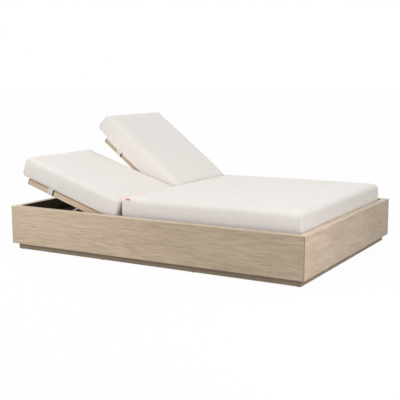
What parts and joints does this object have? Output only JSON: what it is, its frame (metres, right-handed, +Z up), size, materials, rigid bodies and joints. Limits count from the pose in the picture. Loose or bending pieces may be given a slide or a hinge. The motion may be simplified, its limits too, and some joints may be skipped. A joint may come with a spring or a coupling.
{
  "type": "double chaise lounger",
  "caption": "Low wide box lounger with one seat cushion and two separately reclining backrests, each with its own strapped cushion.",
  "frame": {"origin": "on the floor under the middle of the base box", "axes": "+X along the length towards the foot end, -Y the near long side, +Z up"},
  "size_m": [2.134, 1.524, 0.8835],
  "materials": {
    "washed_wood": "matte, open grain, pale wash",
    "plinth_wood": "matte, pale wash",
    "inner_wood": "sanded, oiled",
    "linen": "woven off-white outdoor linen look",
    "webbing": "flat woven strap",
    "hook_tape": "black hook and loop tape",
    "tab": "woven, blank",
    "steel": "satin zinc",
    "pale_metal": "satin powder coat",
    "nylon": "matte black nylon"
  },
  "bodies": {
    "base": {"near_side_board": "washed_wood", "far_side_board": "washed_wood", "head_board": "washed_wood", "foot_board": "washed_wood", "near_plinth_board": "plinth_wood", "far_plinth_board": "plinth_wood", "head_plinth_board": "plinth_wood", "foot_plinth_board": "plinth_wood", "floor_glides": "nylon", "corner_blocks": "inner_wood", "near_seat_ledger": "inner_wood", "far_seat_ledger": "inner_wood", "foot_ledger": "inner_wood", "head_ledger": "inner_wood", "hinge_beam": "inner_wood", "seat_centre_beam": "inner_wood", "head_centre_beam": "inner_wood", "seat_slats": "inner_wood", "centre_pivot_bracket": "steel", "centre_pivot_pin": "steel", "base_screws": "steel", "seat_cushion": "linen", "seat_cushion_tab": "tab", "near_pivot_bracket": "steel", "near_track_board": "inner_wood", "near_outer_track": "steel", "near_inner_track": "steel", "far_pivot_bracket": "steel", "far_track_board": "inner_wood", "far_outer_track": "steel", "far_inner_track": "steel"},
    "near_backrest": {"near_back_outer_rail": "washed_wood", "near_back_inner_rail": "washed_wood", "near_back_head_rail": "washed_wood", "near_back_foot_rail": "washed_wood", "near_back_slats": "inner_wood", "near_pivot_bushes": "nylon", "near_prop_bolts": "steel"},
    "near_prop": {"near_prop_outer_arm": "pale_metal", "near_prop_inner_arm": "pale_metal", "near_prop_cross_bar": "pale_metal"},
    "near_runners": {"near_prop_runners": "nylon"},
    "near_cushion": {"near_back_cushion": "linen", "near_cushion_strap": "webbing", "near_strap_hook_tape": "hook_tape"},
    "far_backrest": {"far_back_outer_rail": "washed_wood", "far_back_inner_rail": "washed_wood", "far_back_head_rail": "washed_wood", "far_back_foot_rail": "washed_wood", "far_back_slats": "inner_wood", "far_pivot_bushes": "nylon", "far_prop_bolts": "steel"},
    "far_prop": {"far_prop_outer_arm": "pale_metal", "far_prop_inner_arm": "pale_metal", "far_prop_cross_bar": "pale_metal"},
    "far_runners": {"far_prop_runners": "nylon"},
    "far_cushion": {"far_back_cushion": "linen", "far_cushion_strap": "webbing", "far_strap_hook_tape": "hook_tape"}
  },
  "joints": [
    {"name": "near_recline", "type": "hinge", "parent": "base", "child": "near_backrest", "pos_m": [-0.231, -0.3555, 0.2375], "axis": [0, 1, 0], "range_deg": [-17.55, 27.45]},
    {"name": "near_prop_pivot", "type": "hinge", "parent": "near_backrest", "child": "near_prop", "pos_m": [-0.54441, -0.3555, 0.32406], "axis": [0, 1, 0], "range_deg": [-54.9, 35.1]},
    {"name": "near_runner_pivot", "type": "hinge", "parent": "near_prop", "child": "near_runners", "pos_m": [-0.83031, -0.3555, 0.16922], "axis": [0, 1, 0], "range_deg": [-17.55, 27.45]},
    {"name": "near_cushion_slide", "type": "slide", "parent": "near_backrest", "child": "near_cushion", "axis": [-0.9535, 0, 0.3015], "range_m": [-0.0438, 0.06851]},
    {"name": "far_recline", "type": "hinge", "parent": "base", "child": "far_backrest", "pos_m": [-0.231, 0.3555, 0.2375], "axis": [0, 1, 0], "range_deg": [-37.5, 7.5]},
    {"name": "far_prop_pivot", "type": "hinge", "parent": "far_backrest", "child": "far_prop", "pos_m": [-0.49606, 0.3555, 0.4258], "axis": [0, 1, 0], "range_deg": [-15, 75]},
    {"name": "far_runner_pivot", "type": "hinge", "parent": "far_prop", "child": "far_runners", "pos_m": [-0.71198, 0.3555, 0.1827], "axis": [0, 1, 0], "range_deg": [-37.5, 7.5]},
    {"name": "far_cushion_slide", "type": "slide", "parent": "far_backrest", "child": "far_cushion", "axis": [-0.7934, 0, 0.6088], "range_m": [-0.09359, 0.01872]}
  ],
  "couplings": [
    {"joint": "near_prop_pivot", "follows": "near_recline", "ratio": -2},
    {"joint": "near_runner_pivot", "follows": "near_recline", "ratio": 1},
    {"joint": "near_cushion_slide", "follows": "near_recline", "m_per_rad": 0.143},
    {"joint": "far_prop_pivot", "follows": "far_recline", "ratio": -2},
    {"joint": "far_runner_pivot", "follows": "far_recline", "ratio": 1},
    {"joint": "far_cushion_slide", "follows": "far_recline", "m_per_rad": 0.143}
  ]
}
